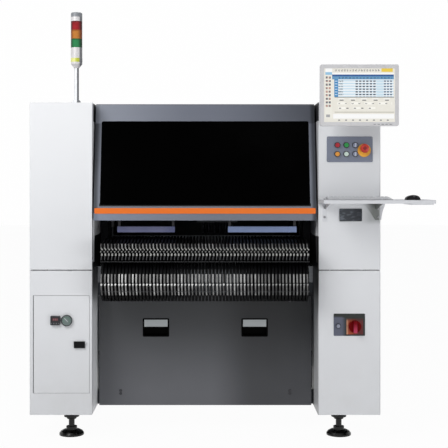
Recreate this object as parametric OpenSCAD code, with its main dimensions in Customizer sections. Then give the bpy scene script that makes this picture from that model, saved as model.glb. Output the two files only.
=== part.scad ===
// Floor-standing pick and place machine: two white side towers, a hinged hood at the
// front and rear, a bank of tape feeders, an operator console and the gantry inside.
// Millimetres. The front faces -Y, +Z is up and the feet stand on Z = 0.
// X = 0 is the middle of the machine and Y = 0 the front face of the towers; the model
// is moved at the very end, so that its origin lies under the middle of its whole box.

/* [Body] */
// Width over the two side towers
body_w = 1650; // [1640:2:1660]
// Depth from the front to the rear tower faces
body_d = 1500; // [1490:2:1510]
// Height of the tower tops above the floor
body_h = 1586; // [1584:1:1590]
// Clearance under the covers
ground_gap = 118; // [114:1:122]
// Width of the bay between the towers
bay_w = 1062; // [1062:1:1064]

/* [Hood] */
// Height of the hood's lower edge
hood_z = 1032; // [1030:1:1034]
// How far the hood leans back at its top edge
hood_lean = 102; // [98:1:106]
// Half width of the hood's window
window_half = 494; // [484:2:496]

/* [Feeders] */
// Distance between neighbouring feeders
feeder_pitch = 16; // [15:0.5:16]
// Thickness of one feeder
feeder_t = 11; // [10.5:0.5:11]
// Place in the bank, counted from the left, of the feeder that is drawn loose
loose_feeder = 52; // [40:1:55]

/* [Console] */
// Width of the monitor
monitor_w = 360; // [350:2:360]
// Height of the monitor
monitor_h = 281; // [275:1:285]
// How far the keyboard tray reaches in front of the towers
tray_reach = 235; // [230:1:250]

/* [Gantry] */
// Distance between neighbouring placement spindles
spindle_pitch = 30; // [29:0.5:31]
// Where the head stands along the beam
head_x = 60; // [40:5:80]

/* [Hidden] */
$fn = 48;

half_w = body_w / 2;
bay_half = bay_w / 2;
sheet = 3;
run_fit = 0.05;
tray_right = 1031;
hood_face = -8;
origin_shift = [-(tray_right - half_w) / 2, -(body_d - hood_face - tray_reach) / 2, 0];

// Framework of 60 mm beams
beam = 60;
inner_beam_x = bay_half + sheet;
outer_beam_x = half_w - sheet - beam;
tower_post_y = 80;
portal_y = 236;
portal_d = 64;
bed_z = 716;
bed_top = 796;
post_top = 1540;

// Covers
seam_z = bed_top;
seam_gap = 4;
corner_r = 8;
return_y = portal_y - 1;
port_y = [540, 1000];
port_z = [840, 960];

// Hood and its hinges
hood_half = bay_half - 8;
hood_break_z = 1096;
hood_top_y = hood_face + hood_lean;
hood_tilt = atan(hood_lean / (body_h - 6 - hood_break_z));
hood_back_y = 632;
window_z = [8, 416];
hinge_y = 640;
hinge_z = body_h - 14;
hinge_r = 6;
hinge_x = 380;
roof_y = 656;

// Lower panels between the towers
panel_face_y = 205;
panel_half = 520;
panel_top = 655;
grip_x = 242;
grip_z = 499;

// Feeders
feeders = 60;
base_half = 488;
base_y = [66, 440];
feeder_z = 850;
reel_y = -24;
reel_z = 757;
reel_r = 87;
holder_r = 94;
axle_r = 5;

// Operator panel
panel_x = 679.5;
panel_z = 1366;
button_x = [621, 663, 705];
button_z = [1385.5, 1343.5];
stem_r = 5;
estop_x = 747;
estop_z = 1370;
estop_stem_r = 8;

// Main switch
switch_x = 703;
switch_z = 534;

// Monitor
monitor_x = 706;
monitor_z = 1608.5;
monitor_front = -130;
monitor_back = -88;
bezel = 18;
swivel_y = -34;
swivel_r = 8;
tilt_y = -72;
tilt_r = 5;

// Keyboard tray
tray_z = 1115;
tray_floor = 1118;
tray_rim = 1131;

// Service door in the left tower
door_x = [-805, -544];
door_z = [221, 678];
door_pin = [-798, 7];
pin_r = 3;
latch_x = -589.5;
latch_z = [433, 466];
latch_pin_y = -5;
gauge_x = -649;
gauge_z = 562.5;

// Feet and signal tower
foot_x = 642;
foot_y = 110;
lamp_x = -624;
lamp_y = 150;
lens_r = 27.5;
lens_h = 42.5;
lens_z = 1863;

// Gantry and board conveyor
gantry_y = 750;
stand_x = 492;
stand_t = 35;
guide_x = 508;
guide_z = [1170, 1195];
xbeam_z = [1235, 1345];
xbeam_half_d = 60;
head_plate_y = gantry_y - 85;
spindle_y = gantry_y - 125;
spindle_r = 6;
tip_z = 930;
board_rail_y = [560, 880];
rail_t = 20;
rail_z = [850, 915];
rail_half = 815;
shaft_x = 350;
shaft_r = 10;
shaft_z = 826;
screw_r = 8;

// ---- shared shapes ----

// Stands a shape drawn in XY upright, so that its thickness runs towards the front
module on_front(x, y, z) {
    translate([x, y, z]) rotate([90, 0, 0]) children();
}

// Extrudes an outline drawn as [y, z] along X from x0
module along_x(x0, length) {
    translate([x0, 0, 0]) rotate([90, 0, 90]) linear_extrude(length) children();
}

// A rod along X
module rod_x(x0, length, y, z, r) {
    translate([x0, y, z]) rotate([0, 90, 0]) cylinder(r = r, h = length);
}

// A turned part along Y: each step is [back y, front y, radius]
module turned(x, z, steps) {
    for (s = steps) on_front(x, s[0], z) cylinder(r = s[2], h = s[0] - s[1]);
}

// Swaps front and rear, for what both ends of the machine have
module at_rear() {
    translate([0, body_d, 0]) mirror([0, 1, 0]) children();
}

// Puts a second, mirrored copy on the other side
module both_sides() {
    children();
    mirror([1, 0, 0]) children();
}

module block(low, high) {
    translate(low) cube(high - low);
}

module rounded(w, h, r) {
    square([w - 2 * r, h], center = true);
    square([w, h - 2 * r], center = true);
    for (x = [-1, 1], y = [-1, 1]) translate([x * (w / 2 - r), y * (h / 2 - r)]) circle(r);
}

// ---- framework ----

module base_frame() {
    far_x = outer_beam_x + beam;
    color("#4a4f55") for (end = [0, 1]) {
        translate([0, end * body_d, 0]) mirror([0, end, 0]) {
            // Portal under the bed, with the cross beam that the lower panel stands against
            block([-far_x, portal_y, ground_gap],
                  [far_x, portal_y + portal_d, ground_gap + beam]);
            block([-inner_beam_x - beam, portal_y, bed_z - beam],
                  [inner_beam_x + beam, portal_y + portal_d, bed_z]);
            both_sides() {
                block([inner_beam_x, portal_y, ground_gap],
                      [inner_beam_x + beam, portal_y + portal_d, bed_z]);
                // Tower frame: two posts and the rails between them
                for (x = [inner_beam_x, outer_beam_x])
                    block([x, tower_post_y, ground_gap], [x + beam, tower_post_y + beam, post_top]);
                for (z = [ground_gap, post_top - beam])
                    block([inner_beam_x, tower_post_y, z], [far_x, tower_post_y + beam, z + beam]);
                block([outer_beam_x, tower_post_y, ground_gap],
                      [far_x, body_d / 2, ground_gap + beam]);
                block([outer_beam_x, tower_post_y, post_top - beam],
                      [far_x, body_d / 2, post_top]);
                block([inner_beam_x, tower_post_y, ground_gap],
                      [inner_beam_x + beam, body_d / 2, ground_gap + beam]);
            }
        }
    }
}

module machine_bed() {
    color("#c9ccd0") block([-inner_beam_x - beam, portal_y + 6, bed_z],
                           [inner_beam_x + beam, body_d - portal_y - 6, bed_top]);
}

// Portal castings that carry the guide rails and let the boards pass beneath
module gantry_stands() {
    color("#c9ccd0") both_sides() along_x(stand_x, stand_t) difference() {
        polygon([[330, bed_top], [1170, bed_top], [1170, guide_z[0]], [330, guide_z[0]]]);
        polygon([[520, bed_top - 1], [1030, bed_top - 1], [1030, 1010], [980, 1060],
                 [570, 1060], [520, 1010]]);
    }
}

module y_guide_rails() {
    color("#dfe3e6") both_sides()
        block([guide_x - 11.5, 335, guide_z[0]], [guide_x + 11.5, 1165, guide_z[1]]);
}

module leveling_feet() {
    color("#16171a") for (x = [-foot_x, foot_x], y = [foot_y, body_d - foot_y])
        translate([x, y, 0]) rotate_extrude()
            polygon([[0, 0], [59, 0], [59, 8], [52, 17], [40, 23], [26, 26], [26, 40],
                     [14, 40], [14, 74], [22, 76], [26, 84], [36.5, 87], [36.5, 96],
                     [14, 96], [14, ground_gap], [0, ground_gap]]);
}

// ---- tower covers, drawn for the right tower and mirrored for the left ----

module tower_outline(inset) {
    x0 = bay_half + inset;
    x1 = half_w - inset;
    r = corner_r - inset;
    translate([x0, inset]) square([x1 - x0 - r, body_d - 2 * inset]);
    translate([x0, inset + r]) square([x1 - x0, body_d - 2 * (inset + r)]);
    for (y = [inset + r, body_d - inset - r]) translate([x1 - r, y]) circle(r);
}

// Front, outer and rear walls, with short inner returns; open below and above
module lower_shell() {
    difference() {
        translate([0, 0, ground_gap]) linear_extrude(seam_z - ground_gap) tower_outline(0);
        translate([0, 0, ground_gap - 1]) linear_extrude(seam_z - ground_gap + 2)
            tower_outline(sheet);
        block([bay_half - 1, return_y, ground_gap - 1],
              [bay_half + sheet + 1, body_d - return_y, seam_z + 1]);
    }
}

// Closed box that is open below, with ports for the circuit boards in both side walls
module upper_shell() {
    difference() {
        translate([0, 0, seam_z + seam_gap]) linear_extrude(body_h - seam_z - seam_gap)
            tower_outline(0);
        translate([0, 0, seam_z]) linear_extrude(body_h - seam_z - sheet)
            tower_outline(sheet);
        block([bay_half - 1, port_y[0], port_z[0]], [half_w + 1, port_y[1], port_z[1]]);
    }
    // Guard plates beside the feeder openings
    for (end = [0, 1]) translate([0, end * body_d, 0]) mirror([0, end, 0])
        along_x(bay_half - 6, 6)
            polygon([[25, 835], [230, 835], [230, 1120], [60, 1120], [42, 1020]]);
}

module left_lower_cover() {
    color("#d8d9da") {
        difference() {
            mirror([1, 0, 0]) lower_shell();
            block([door_x[0] - 3.5, -1, door_z[0] - 1.5],
                  [door_x[1] + 1.5, sheet + 1, door_z[1] + 1.5]);
        }
        // Hinge tabs above and below the door, with the pins it turns on
        for (end = [0, 1])
            translate([0, 0, end * (door_z[0] + door_z[1])]) mirror([0, 0, end]) {
                block([door_pin[0] - 6, sheet, door_z[0] - 8],
                      [door_pin[0] + 7, sheet + 11, door_z[0] - 3]);
                translate([door_pin[0], door_pin[1], door_z[0] - 3]) cylinder(r = pin_r, h = 15);
            }
    }
}

module left_upper_cover() {
    color("#eceded") mirror([1, 0, 0]) upper_shell();
}

module right_lower_cover() {
    color("#d3d5d7") difference() {
        lower_shell();
        turned(switch_x, switch_z, [[sheet + 1, -1, 9]]);
    }
}

module right_upper_cover() {
    color("#dcdee0") difference() {
        upper_shell();
        block([panel_x - 95, -1, panel_z - 50], [panel_x + 95, sheet + 1, panel_z + 50]);
    }
}

// ---- panels between the towers ----

// Fixed middle of the roof, with the ears and pins that both hoods turn on
module roof_panel() {
    color("#6b707c") {
        difference() {
            block([-bay_half + 6, roof_y, body_h - 26], [bay_half - 6, body_d - roof_y, body_h]);
            block([-bay_half + 9, roof_y + sheet, body_h - 27],
                  [bay_half - 9, body_d - roof_y - sheet, body_h - sheet]);
        }
        // Straps that carry the roof on the inner walls of the towers
        for (x = [-bay_half, bay_half - 6])
            block([x, roof_y + 10, body_h - 26], [x + 6, body_d - roof_y - 10, body_h - 6]);
        for (end = [0, 1]) translate([0, end * body_d, 0]) mirror([0, end, 0])
            both_sides() {
                for (x = [hinge_x - 35, hinge_x + 22]) {
                    rod_x(x, 13, hinge_y, hinge_z, 12);
                    block([x, hinge_y, body_h - 26], [x + 13, roof_y + 1, hinge_z]);
                }
                rod_x(hinge_x - 35, 70, hinge_y, hinge_z, hinge_r);
            }
    }
}

module lower_pan(face_y) {
    difference() {
        block([-panel_half, face_y, ground_gap], [panel_half, face_y + 30, panel_top]);
        block([-panel_half + sheet, face_y + sheet, ground_gap + sheet],
              [panel_half - sheet, face_y + 31, panel_top - sheet]);
    }
}

module front_lower_panel() {
    color("#55565a") difference() {
        lower_pan(panel_face_y);
        for (x = [-grip_x, grip_x])
            block([x - 61, panel_face_y - 1, grip_z - 42], [x + 61, panel_face_y + 4, grip_z + 42]);
    }
}

// Recessed grips: a flange whose upper half is the grip, with a pocket behind it
module panel_handles() {
    color("#94989a") for (x = [-grip_x, grip_x]) difference() {
        union() {
            on_front(x, panel_face_y, grip_z) linear_extrude(2) rounded(129, 90, 5);
            block([x - 60, panel_face_y, grip_z - 41], [x + 60, panel_face_y + 26, grip_z + 41]);
        }
        block([x - 57, panel_face_y + 1, grip_z - 38], [x + 57, panel_face_y + 24, grip_z + 38]);
        block([x - 57, panel_face_y - 3, grip_z - 38], [x + 57, panel_face_y + 2, grip_z + 4]);
    }
}

module rear_lower_panel() {
    color("#55565a") {
        at_rear() difference() {
            lower_pan(panel_face_y + 1);
            // Louvre slots
            for (x = [-300, 0, 300], row = [0 : 5])
                block([x - 80, panel_face_y - 1, 420 + row * 22],
                      [x + 80, panel_face_y + 6, 428 + row * 22]);
            // Mains inlet
            block([360, panel_face_y - 1, 210], [400, panel_face_y + 6, 242]);
        }
        // Compressed air coupling
        difference() {
            turned(-380, 226, [[body_d - panel_face_y + 19, body_d - panel_face_y - 1, 13]]);
            turned(-380, 226, [[body_d - panel_face_y + 20, body_d - panel_face_y - 2, 5.9]]);
        }
    }
}

// Lift-out cover of the rear feeder bay: a plate on a foot, with two bar grips
module rear_bay_cover() {
    foot_z = feeder_z + 0.3;
    color("#55565a") at_rear() {
        along_x(-522, 1044)
            polygon([[13, foot_z], [120, foot_z], [120, foot_z + sheet], [13 + sheet, foot_z + sheet],
                     [13 + sheet, hood_z - 3], [13, hood_z - 3]]);
        for (x = [-grip_x, grip_x]) {
            rod_x(x - 58, 116, -2, 940, 5);
            for (end = [-46, 46]) block([x + end - 4, -2, 936], [x + end + 4, 13.5, 944]);
        }
    }
}

// ---- hoods ----

// Moves a shape from the lower edge of the hood's sloping face into place
module on_slope() {
    translate([0, hood_face, hood_break_z]) rotate([-hood_tilt, 0, 0]) children();
}

module hood_shell() {
    difference() {
        union() {
            difference() {
                along_x(-hood_half, 2 * hood_half)
                    polygon([[hood_face, hood_z], [hood_face, hood_break_z],
                             [hood_top_y - 0.5, body_h - 8], [hood_top_y + 6, body_h],
                             [hood_back_y, body_h], [hood_back_y, body_h - 40],
                             [hood_top_y + 76, body_h - 46], [60, hood_z]]);
                along_x(-hood_half + sheet, 2 * (hood_half - sheet))
                    polygon([[hood_face + sheet, hood_z + sheet], [20, hood_z + sheet],
                             [20, hood_z - 30], [300, hood_z - 30], [700, 1400],
                             [700, body_h - sheet], [hood_top_y + 7.3, body_h - sheet],
                             [hood_top_y + 2.4, body_h - 9], [hood_face + sheet, hood_break_z]]);
            }
            both_sides() {
                block([hinge_x - 20, hinge_y - 60, body_h - 26],
                      [hinge_x + 20, hinge_y, body_h - sheet]);
                rod_x(hinge_x - 20, 40, hinge_y, hinge_z, 12);
            }
        }
        on_slope() on_front(0, 10, (window_z[0] + window_z[1]) / 2) linear_extrude(20)
            rounded(2 * window_half, window_z[1] - window_z[0], 8);
        both_sides() rod_x(hinge_x - 21, 42, hinge_y, hinge_z, hinge_r + run_fit);
    }
}

module hood_pane() {
    on_slope() on_front(0, sheet + 5, (window_z[0] + window_z[1]) / 2 + 2) linear_extrude(5)
        rounded(2 * window_half + 22, window_z[1] - window_z[0] + 12, 8);
}

module front_cover() { color("#6b707c") hood_shell(); }
module front_window() { color("#17181b") hood_pane(); }
module rear_cover() { color("#6b707c") at_rear() hood_shell(); }
module rear_window() { color("#17181b") at_rear() hood_pane(); }

// Two lamp bars that hang under the front edge of the hood
module hood_lamps() {
    color("#6c7594") for (bar = [[-418, -145], [109, 435]]) {
        difference() {
            block([bar[0], 60, 973], [bar[1], 100, 1000]);
            for (end = [[bar[0] - 20, 35], [bar[1] + 20, -35]])
                translate([end[0], 59, 965]) rotate([0, end[1], 0])
                    translate([-20, 0, -10]) cube([40, 42, 24]);
        }
        for (x = [bar[0] + 2, bar[1] - 14]) {
            block([x, 77, 1000], [x + 12, 80, hood_z]);
            block([x, 2, hood_z - sheet], [x + 12, 80, hood_z]);
        }
    }
}

// ---- feeders ----

// Where each lane of the bank stands
function lane_x(i) = (i + 0.5 - feeders / 2) * feeder_pitch;

module feeder_bases() {
    color("#8f9397") {
        difference() {
            block([-base_half, base_y[0], bed_top], [base_half, base_y[1], feeder_z]);
            // The loose feeder's lane is relieved, so that it slides without rubbing
            block([lane_x(loose_feeder) - 6.5, base_y[0] - 1, feeder_z - 0.4],
                  [lane_x(loose_feeder) + 6.5, base_y[1] + 1, feeder_z + 1]);
        }
        at_rear() block([-base_half, base_y[0], bed_top], [base_half, base_y[1], feeder_z]);
    }
}

// Body, pick-up nose and front grip of one feeder, seen from its side
module feeder_profile() {
    polygon([[-125, 862], [-50, 862], [-50, feeder_z], [430, feeder_z], [430, 897],
             [340, 897], [320, 945], [-10, 945], [-50, 935], [-118, 935], [-125, 925]]);
}

module feeder_bank() {
    color("#2a2b2e") for (i = [0 : feeders - 1]) if (i != loose_feeder)
        along_x(lane_x(i) - feeder_t / 2, feeder_t) {
            feeder_profile();
            polygon([[-60, 830], [50, 830], [50, feeder_z + 1], [-60, feeder_z + 1]]);
            translate([reel_y, reel_z]) circle(holder_r);
        }
}

// One feeder on its own, with a thin holder plate, a rim and a stub axle for its reel
module feeder_loose() {
    x0 = lane_x(loose_feeder) - feeder_t / 2;
    color("#2a2b2e") {
        along_x(x0, feeder_t) {
            difference() {
                union() {
                    feeder_profile();
                    polygon([[-60, 830], [50, 830], [50, feeder_z + 1], [-60, feeder_z + 1]]);
                    translate([reel_y, reel_z]) circle(holder_r);
                }
                translate([reel_y, reel_z]) circle(holder_r - 3);
            }
        }
        along_x(x0, 1.5) translate([reel_y, reel_z]) circle(holder_r - 2);
        rod_x(x0, feeder_t, reel_y, reel_z, axle_r);
    }
}

// Tape reel: two flanges and the wound tape between them
module feeder_loose_reel() {
    x0 = lane_x(loose_feeder) - feeder_t / 2 + 1.9;
    color("#c9cbcd") difference() {
        union() {
            rod_x(x0, 1, reel_y, reel_z, reel_r);
            rod_x(x0 + 1, 6.6, reel_y, reel_z, reel_r - 14);
            rod_x(x0 + 7.6, 1, reel_y, reel_z, reel_r);
        }
        rod_x(x0 - 1, feeder_t, reel_y, reel_z, axle_r + run_fit);
    }
}

// ---- operator console ----

// Panel plate with a bezel round each button, and the yellow ring of the stop button
module operator_panel() {
    color("#717379") difference() {
        union() {
            on_front(panel_x, 0, panel_z) linear_extrude(sheet) rounded(215, 120, 6);
            for (x = button_x, z = button_z) turned(x, z, [[-sheet, -7, 14]]);
            turned(estop_x, panel_z - 5, [[-sheet, -5, 31]]);
            turned(estop_x, estop_z, [[-5, -12, 16]]);
        }
        for (x = button_x, z = button_z) {
            turned(x, z, [[1, -4, stem_r + run_fit]]);
            turned(x, z, [[-sheet, -8, 10.9]]);
        }
        turned(estop_x, estop_z, [[1, -4, estop_stem_r + run_fit], [-sheet, -13, 11.7]]);
    }
}

// Round push button: cap, stem and the disc that keeps it in the panel
module push_button(col, row) {
    turned(button_x[col], button_z[row], [[-8, -12.5, 10.4], [0.5, -8, stem_r], [4, 0.5, 8]]);
}

// Round selector knob with a raised bar
module selector(row) {
    turned(button_x[2], button_z[row], [[-4, -9, 10.4], [0.5, -4, stem_r], [4, 0.5, 8]]);
    block([button_x[2] - 2.6, -17, button_z[row] - 9.5], [button_x[2] + 2.6, -9, button_z[row] + 9.5]);
}

module button_red() { color("#c8372d") push_button(0, 0); }
module button_green() { color("#3f9a4e") push_button(1, 0); }
module button_orange() { color("#d9903a") push_button(0, 1); }
module button_white() { color("#dfe4dc") push_button(1, 1); }
module selector_upper() { color("#3a3b3e") selector(0); }
module selector_lower() { color("#3a3b3e") selector(1); }

module emergency_stop() {
    color("#c4452c") translate([estop_x, 0, estop_z]) rotate([90, 0, 0]) rotate_extrude()
        polygon([[0, -6], [12, -6], [12, -1], [estop_stem_r, -1], [estop_stem_r, 8], [11.3, 8],
                 [11.3, 17], [20.5, 19], [21, 25], [18, 29], [12, 31], [0, 31.5]]);
}

// Grey plate with the raised square of the main switch and the button beside it
module switch_plate() {
    color("#595d65") difference() {
        union() {
            on_front(677.5, 0, 542) linear_extrude(2) rounded(147, 104, 4);
            block([switch_x - 39, -3.5, 497], [switch_x + 39, -2, 573]);
            turned(625.5, 536.5, [[-2, -6, 12], [-6, -9, 9]]);
        }
        turned(switch_x, switch_z, [[1, -4, stem_r + run_fit]]);
    }
}

module main_switch_handle() {
    color("#7d1a1c") {
        turned(switch_x, switch_z, [[-4, -14, 29], [12, -4, stem_r]]);
        block([switch_x - 8, -33, switch_z - 27], [switch_x + 8, -14, switch_z + 27]);
    }
}

// Wall bracket with two ears and the upright pin that the monitor arm swings on
module monitor_bracket() {
    color("#b9bbbd") {
        block([monitor_x - 46, -6, 1480], [monitor_x + 46, 0, 1580]);
        for (z = [1500, 1560]) {
            block([monitor_x - 14, swivel_y, z], [monitor_x + 14, -6, z + 12]);
            translate([monitor_x, swivel_y, z]) cylinder(r = 14, h = 12);
        }
        translate([monitor_x, swivel_y, 1500]) cylinder(r = swivel_r, h = 72);
    }
}

module monitor_arm() {
    color("#b9bbbd") {
        difference() {
            union() {
                translate([monitor_x, swivel_y, 1513]) cylinder(r = 13, h = 46);
                block([monitor_x - 12, -60, 1513], [monitor_x + 12, swivel_y, 1559]);
            }
            translate([monitor_x, swivel_y, 1512]) cylinder(r = swivel_r + run_fit, h = 48);
        }
        block([monitor_x - 17, -68, 1513], [monitor_x + 17, -58, monitor_z]);
        rod_x(monitor_x - 17, 34, tilt_y, monitor_z, 9);
        rod_x(monitor_x - 32, 64, tilt_y, monitor_z, tilt_r);
    }
}

// Casing with a recess for the screen and two lugs behind it
module monitor_housing() {
    color("#c2c1c3") difference() {
        union() {
            on_front(monitor_x, monitor_front + 22, monitor_z) linear_extrude(22)
                rounded(monitor_w, monitor_h, 9);
            on_front(monitor_x, monitor_back, monitor_z) linear_extrude(20)
                rounded(monitor_w - 50, monitor_h - 50, 14);
            for (x = [monitor_x - 31, monitor_x + 18]) {
                rod_x(x, 13, tilt_y, monitor_z, 10);
                block([x, monitor_back - 1, monitor_z - 10], [x + 13, tilt_y, monitor_z + 10]);
            }
        }
        on_front(monitor_x, monitor_front + 6, monitor_z)
            linear_extrude(10) square([monitor_w - 2 * bezel, monitor_h - 2 * bezel], center = true);
        rod_x(monitor_x - 33, 66, tilt_y, monitor_z, tilt_r + run_fit);
    }
}

module monitor_screen() {
    color("#9db4cc") on_front(monitor_x, monitor_front + 6, monitor_z)
        linear_extrude(4) square([monitor_w - 2 * bezel, monitor_h - 2 * bezel], center = true);
}

// Shallow tray on two wall brackets, the right one a shaped plate, with a slide-out ledge
module keyboard_tray() {
    color("#b3b6ba") {
        difference() {
            block([bay_half, -tray_reach, tray_z], [tray_right, -sheet, tray_rim]);
            block([bay_half + sheet, sheet - tray_reach, tray_floor],
                  [tray_right - sheet, -2 * sheet, tray_rim + 1]);
        }
        block([552, -sheet, 1028], [572, 0, tray_rim]);
        on_front(0, 0, 0) linear_extrude(sheet)
            polygon([[737, tray_rim], [846, tray_rim], [846, 1112], [843, 1100], [834, 1075],
                     [829, 1050], [828, 1034], [800, 1034], [788, 1052], [772, 1078], [755, 1100],
                     [737, 1112]]);
        for (x = [565, 803]) along_x(x, 4)
            polygon([[-2, 1085], [-20, 1088], [-120, 1104], [-190, tray_z + 1], [-2, tray_z + 1]]);
        block([925, sheet - tray_reach, tray_z - 5], [1022, -40, tray_z]);
    }
}

// Wedge-shaped keyboard with a block of keys
module keyboard() {
    color("#c3c5c7") {
        along_x(548, 306)
            polygon([[-215, tray_floor + 0.3], [-75, tray_floor + 0.3], [-75, 1136],
                     [-80, 1138], [-210, 1127], [-215, 1125]]);
        along_x(556, 290)
            polygon([[-206, 1126], [-84, 1136], [-84, 1143], [-88, 1144], [-204, 1134]]);
    }
}

module mouse() {
    color("#222326") hull() for (end = [-1, 1]) translate([948, -130 + end * 20, 0]) {
        translate([0, 0, tray_floor + 0.3]) cylinder(r = 35, h = 4, $fn = 32);
        translate([0, 0, tray_floor + 17.8 - end]) scale([1.9, 1, 1]) sphere(r = 16.5, $fn = 24);
    }
}

// ---- signal tower ----

module signal_tower() {
    color("#dfe1e3") translate([lamp_x, lamp_y, 0]) {
        rotate_extrude()
            polygon([[0, body_h], [36, body_h], [36, body_h + 6], [22, body_h + 12],
                     [16, body_h + 22], [11, body_h + 24], [11, 1763], [lens_r, 1784],
                     [lens_r, lens_z], [8, lens_z], [8, lens_z + 3 * lens_h],
                     [lens_r, lens_z + 3 * lens_h], [lens_r, 2029], [24, 2033], [0, 2033]]);
    }
}

module lens(place) {
    translate([lamp_x, lamp_y, lens_z + place * lens_h]) difference() {
        cylinder(r = lens_r, h = lens_h);
        translate([0, 0, -1]) cylinder(r = 8.2, h = lens_h + 2);
    }
}

module signal_lens_red() { color("#d4302c") lens(2); }
module signal_lens_amber() { color("#dd9a2c") lens(1); }
module signal_lens_green() { color("#2f9a58") lens(0); }

// ---- service door ----

// Pan-shaped door with a hinge barrel along its left edge and lugs for the latch
module service_door() {
    color("#d8d9da") difference() {
        union() {
            difference() {
                block([door_x[0], 0, door_z[0]], [door_x[1], 14, door_z[1]]);
                block([door_x[0] + 2, 2, door_z[0] + 2], [door_x[1] - 2, 15, door_z[1] - 2]);
            }
            translate([door_pin[0], door_pin[1], door_z[0]])
                cylinder(r = 6, h = door_z[1] - door_z[0]);
            for (x = [latch_x - 30, latch_x + 27])
                block([x, -9, latch_z[1] - 10], [x + 3, 0, latch_z[1]]);
            rod_x(latch_x - 30, 60, latch_pin_y, latch_z[1] - 5, 1.5);
        }
        for (z = [door_z[0] - 1, door_z[1] - 14])
            translate([door_pin[0], door_pin[1], z]) cylinder(r = pin_r + run_fit, h = 15);
        turned(gauge_x, gauge_z, [[3, -1, 6.2]]);
    }
}

module pressure_switch() {
    color("#46484c") {
        on_front(-702.5, 0, gauge_z) linear_extrude(13) rounded(45, 43, 3);
        on_front(-702.5, -13, gauge_z + 5) linear_extrude(1) rounded(34, 20, 2);
    }
}

module pressure_gauge() {
    color("#e6e7e8") translate([gauge_x, 0, gauge_z]) rotate([90, 0, 0]) rotate_extrude()
        polygon([[0, -20], [6, -20], [6, 0], [24, 0], [26.5, 3], [26.5, 12], [24, 13],
                 [23, 10], [0, 10]]);
}

// Paddle that turns on a pin along its upper edge
module door_latch() {
    color("#17181a") difference() {
        union() {
            block([latch_x - 26, -8, latch_z[0]], [latch_x + 26, -3, latch_z[1] - 5]);
            rod_x(latch_x - 26, 52, latch_pin_y, latch_z[1] - 5, 3);
        }
        rod_x(latch_x - 31, 62, latch_pin_y, latch_z[1] - 5, 1.5 + run_fit);
    }
}

// ---- board conveyor ----

// Fixed rail on its legs, with the shafts and bearing blocks of the moving rail
module conveyor_fixed_rail() {
    y = board_rail_y[0];
    color("#b7bbbf") difference() {
        union() {
            block([-rail_half, y, rail_z[0]], [rail_half, y + rail_t, rail_z[1]]);
            for (x = [-shaft_x, 0, shaft_x], d = [y - 5, 1005])
                block([x - 25, d, bed_top], [x + 25, d + 30, rail_z[0]]);
            for (x = [-shaft_x, shaft_x])
                translate([x, y + 30, shaft_z]) rotate([-90, 0, 0]) cylinder(r = shaft_r, h = 450);
        }
        translate([0, 500, shaft_z]) rotate([-90, 0, 0]) cylinder(r = screw_r + run_fit, h = 600);
    }
}

module conveyor_moving_rail() {
    y = board_rail_y[1];
    color("#b7bbbf") difference() {
        union() {
            block([-rail_half, y, rail_z[0]], [rail_half, y + rail_t, rail_z[1]]);
            for (x = [-shaft_x, 0, shaft_x])
                block([x - 25, y - 10, bed_top + 8], [x + 25, y + rail_t + 10, rail_z[0]]);
        }
        for (x = [-shaft_x, shaft_x]) translate([x, y - 11, shaft_z])
            rotate([-90, 0, 0]) cylinder(r = shaft_r + run_fit, h = rail_t + 22);
        translate([0, y - 11, shaft_z])
            rotate([-90, 0, 0]) cylinder(r = screw_r + run_fit, h = rail_t + 22);
    }
}

// Width screw with its collars and the pulley that turns it
module width_screw() {
    color("#8c9095") translate([0, 0, shaft_z]) rotate([-90, 0, 0]) {
        translate([0, 0, 530]) cylinder(r = screw_r, h = 520);
        translate([0, 0, 530]) cylinder(r = 20, h = 14);
        for (y = [586, 997]) translate([0, 0, y]) cylinder(r = 12, h = 7);
    }
}

// Two upward cameras and the nozzle changer in front of the fixed rail
module vision_cameras() {
    color("#33353a") {
        for (x = [-150, 150]) {
            block([x - 40, 470, bed_top], [x + 40, 535, 878]);
            translate([x, 502, 878]) cylinder(r = 24, h = 8);
        }
        block([260, 470, bed_top], [420, 535, 880]);
    }
}

module controller_unit() {
    color("#bfc3c7") {
        block([inner_beam_x + 6, 340, ground_gap + beam], [half_w - 9, 900, ground_gap + beam + 4]);
        block([inner_beam_x + beam + 4, 350, ground_gap + beam + 4],
              [outer_beam_x - 4, 890, 640]);
    }
}

// ---- gantry ----

// Cross beam with a carriage at each end that wraps round the guide rail
module x_beam() {
    back = gantry_y + xbeam_half_d;
    front = gantry_y - xbeam_half_d;
    end_x = guide_x + 20;
    color("#d5d8db") {
        block([-end_x, front, xbeam_z[0]], [end_x, back, xbeam_z[1]]);
        for (z = [xbeam_z[0] + 15, xbeam_z[1] - 27])
            block([-end_x + 50, front - 12, z], [end_x - 50, front, z + 12]);
        both_sides() difference() {
            block([guide_x - 20, front, guide_z[0] + 3], [end_x, back, xbeam_z[0]]);
            block([guide_x - 11.8, front - 1, guide_z[0]],
                  [guide_x + 11.8, back + 1, guide_z[1] + 0.3]);
        }
    }
}

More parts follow.
